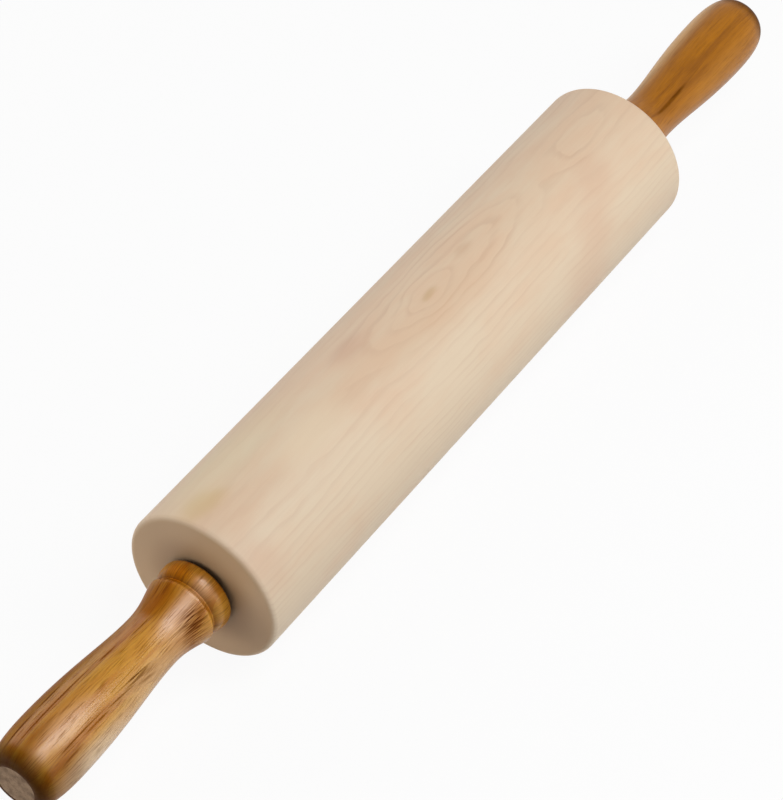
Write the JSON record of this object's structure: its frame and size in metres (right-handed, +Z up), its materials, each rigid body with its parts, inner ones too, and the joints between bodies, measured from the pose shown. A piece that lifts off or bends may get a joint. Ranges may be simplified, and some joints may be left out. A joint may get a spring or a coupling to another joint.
{
  "type": "rolling pin",
  "caption": "Wooden rolling pin: a pale maple barrel that spins on ball bearings round a steel axle, with turned and stained handles clamped on the axle's ends.",
  "frame": {"origin": "middle of the barrel, on the axle's axis", "axes": "+X along the axle from the left handle to the right handle, +Z up from the worktop that the barrel lies on"},
  "size_m": [0.53, 0.069, 0.069],
  "materials": {
    "maple": "sanded and lightly oiled, satin",
    "stained_wood": "golden brown stain under gloss lacquer",
    "raw_wood": "unstained end grain, matte",
    "axle_steel": "bright drawn rod",
    "zinc_steel": "zinc plated",
    "bearing_steel": "ground and polished",
    "nylon": "natural moulded nylon"
  },
  "bodies": {
    "axle_and_handles": {"axle_rod": "axle_steel", "left_handle": "stained_wood", "left_plug": "raw_wood", "left_nut": "zinc_steel", "left_washer": "zinc_steel", "left_spacer": "zinc_steel", "left_inner_race": "bearing_steel", "right_handle": "stained_wood", "right_plug": "raw_wood", "right_nut": "zinc_steel", "right_washer": "zinc_steel", "right_spacer": "zinc_steel", "right_inner_race": "bearing_steel"},
    "barrel_set": {"barrel": "maple", "left_outer_race": "bearing_steel", "left_outer_shield": "zinc_steel", "left_inner_shield": "zinc_steel", "right_outer_race": "bearing_steel", "right_outer_shield": "zinc_steel", "right_inner_shield": "zinc_steel"},
    "left_cage_set": {"left_cage": "nylon"},
    "left_ball_1_set": {"left_ball_1": "bearing_steel"},
    "left_ball_2_set": {"left_ball_2": "bearing_steel"},
    "left_ball_3_set": {"left_ball_3": "bearing_steel"},
    "left_ball_4_set": {"left_ball_4": "bearing_steel"},
    "left_ball_5_set": {"left_ball_5": "bearing_steel"},
    "left_ball_6_set": {"left_ball_6": "bearing_steel"},
    "left_ball_7_set": {"left_ball_7": "bearing_steel"},
    "right_cage_set": {"right_cage": "nylon"},
    "right_ball_1_set": {"right_ball_1": "bearing_steel"},
    "right_ball_2_set": {"right_ball_2": "bearing_steel"},
    "right_ball_3_set": {"right_ball_3": "bearing_steel"},
    "right_ball_4_set": {"right_ball_4": "bearing_steel"},
    "right_ball_5_set": {"right_ball_5": "bearing_steel"},
    "right_ball_6_set": {"right_ball_6": "bearing_steel"},
    "right_ball_7_set": {"right_ball_7": "bearing_steel"}
  },
  "joints": [
    {"name": "barrel_spin", "type": "hinge", "parent": "axle_and_handles", "child": "barrel_set", "pos_m": [0, 0, 0], "axis": [1, 0, 0], "continuous": true},
    {"name": "left_cage_spin", "type": "hinge", "parent": "axle_and_handles", "child": "left_cage_set", "pos_m": [-0.14811, 0, 0], "axis": [1, 0, 0], "continuous": true},
    {"name": "left_ball_1_spin", "type": "hinge", "parent": "left_cage_set", "child": "left_ball_1_set", "pos_m": [-0.14811, 0, 0.00795], "axis": [1, 0, 0], "continuous": true},
    {"name": "left_ball_2_spin", "type": "hinge", "parent": "left_cage_set", "child": "left_ball_2_set", "pos_m": [-0.14811, -0.00621, 0.00496], "axis": [1, 0, 0], "continuous": true},
    {"name": "left_ball_3_spin", "type": "hinge", "parent": "left_cage_set", "child": "left_ball_3_set", "pos_m": [-0.14811, -0.00775, -0.00177], "axis": [1, 0, 0], "continuous": true},
    {"name": "left_ball_4_spin", "type": "hinge", "parent": "left_cage_set", "child": "left_ball_4_set", "pos_m": [-0.14811, -0.00345, -0.00716], "axis": [1, 0, 0], "continuous": true},
    {"name": "left_ball_5_spin", "type": "hinge", "parent": "left_cage_set", "child": "left_ball_5_set", "pos_m": [-0.14811, 0.00345, -0.00716], "axis": [1, 0, 0], "continuous": true},
    {"name": "left_ball_6_spin", "type": "hinge", "parent": "left_cage_set", "child": "left_ball_6_set", "pos_m": [-0.14811, 0.00775, -0.00177], "axis": [1, 0, 0], "continuous": true},
    {"name": "left_ball_7_spin", "type": "hinge", "parent": "left_cage_set", "child": "left_ball_7_set", "pos_m": [-0.14811, 0.00621, 0.00496], "axis": [1, 0, 0], "continuous": true},
    {"name": "right_cage_spin", "type": "hinge", "parent": "axle_and_handles", "child": "right_cage_set", "pos_m": [0.14811, 0, 0], "axis": [1, 0, 0], "continuous": true},
    {"name": "right_ball_1_spin", "type": "hinge", "parent": "right_cage_set", "child": "right_ball_1_set", "pos_m": [0.14811, 0, 0.00795], "axis": [1, 0, 0], "continuous": true},
    {"name": "right_ball_2_spin", "type": "hinge", "parent": "right_cage_set", "child": "right_ball_2_set", "pos_m": [0.14811, 0.00621, 0.00496], "axis": [1, 0, 0], "continuous": true},
    {"name": "right_ball_3_spin", "type": "hinge", "parent": "right_cage_set", "child": "right_ball_3_set", "pos_m": [0.14811, 0.00775, -0.00177], "axis": [1, 0, 0], "continuous": true},
    {"name": "right_ball_4_spin", "type": "hinge", "parent": "right_cage_set", "child": "right_ball_4_set", "pos_m": [0.14811, 0.00345, -0.00716], "axis": [1, 0, 0], "continuous": true},
    {"name": "right_ball_5_spin", "type": "hinge", "parent": "right_cage_set", "child": "right_ball_5_set", "pos_m": [0.14811, -0.00345, -0.00716], "axis": [1, 0, 0], "continuous": true},
    {"name": "right_ball_6_spin", "type": "hinge", "parent": "right_cage_set", "child": "right_ball_6_set", "pos_m": [0.14811, -0.00775, -0.00177], "axis": [1, 0, 0], "continuous": true},
    {"name": "right_ball_7_spin", "type": "hinge", "parent": "right_cage_set", "child": "right_ball_7_set", "pos_m": [0.14811, -0.00621, 0.00496], "axis": [1, 0, 0], "continuous": true}
  ],
  "couplings": [
    {"joint": "left_cage_spin", "follows": "barrel_spin", "ratio": 0.62488},
    {"joint": "left_ball_1_spin", "follows": "barrel_spin", "ratio": 1.877},
    {"joint": "left_ball_2_spin", "follows": "barrel_spin", "ratio": 1.877},
    {"joint": "left_ball_3_spin", "follows": "barrel_spin", "ratio": 1.877},
    {"joint": "left_ball_4_spin", "follows": "barrel_spin", "ratio": 1.877},
    {"joint": "left_ball_5_spin", "follows": "barrel_spin", "ratio": 1.877},
    {"joint": "left_ball_6_spin", "follows": "barrel_spin", "ratio": 1.877},
    {"joint": "left_ball_7_spin", "follows": "barrel_spin", "ratio": 1.877},
    {"joint": "right_cage_spin", "follows": "barrel_spin", "ratio": 0.62488},
    {"joint": "right_ball_1_spin", "follows": "barrel_spin", "ratio": 1.877},
    {"joint": "right_ball_2_spin", "follows": "barrel_spin", "ratio": 1.877},
    {"joint": "right_ball_3_spin", "follows": "barrel_spin", "ratio": 1.877},
    {"joint": "right_ball_4_spin", "follows": "barrel_spin", "ratio": 1.877},
    {"joint": "right_ball_5_spin", "follows": "barrel_spin", "ratio": 1.877},
    {"joint": "right_ball_6_spin", "follows": "barrel_spin", "ratio": 1.877},
    {"joint": "right_ball_7_spin", "follows": "barrel_spin", "ratio": 1.877}
  ]
}
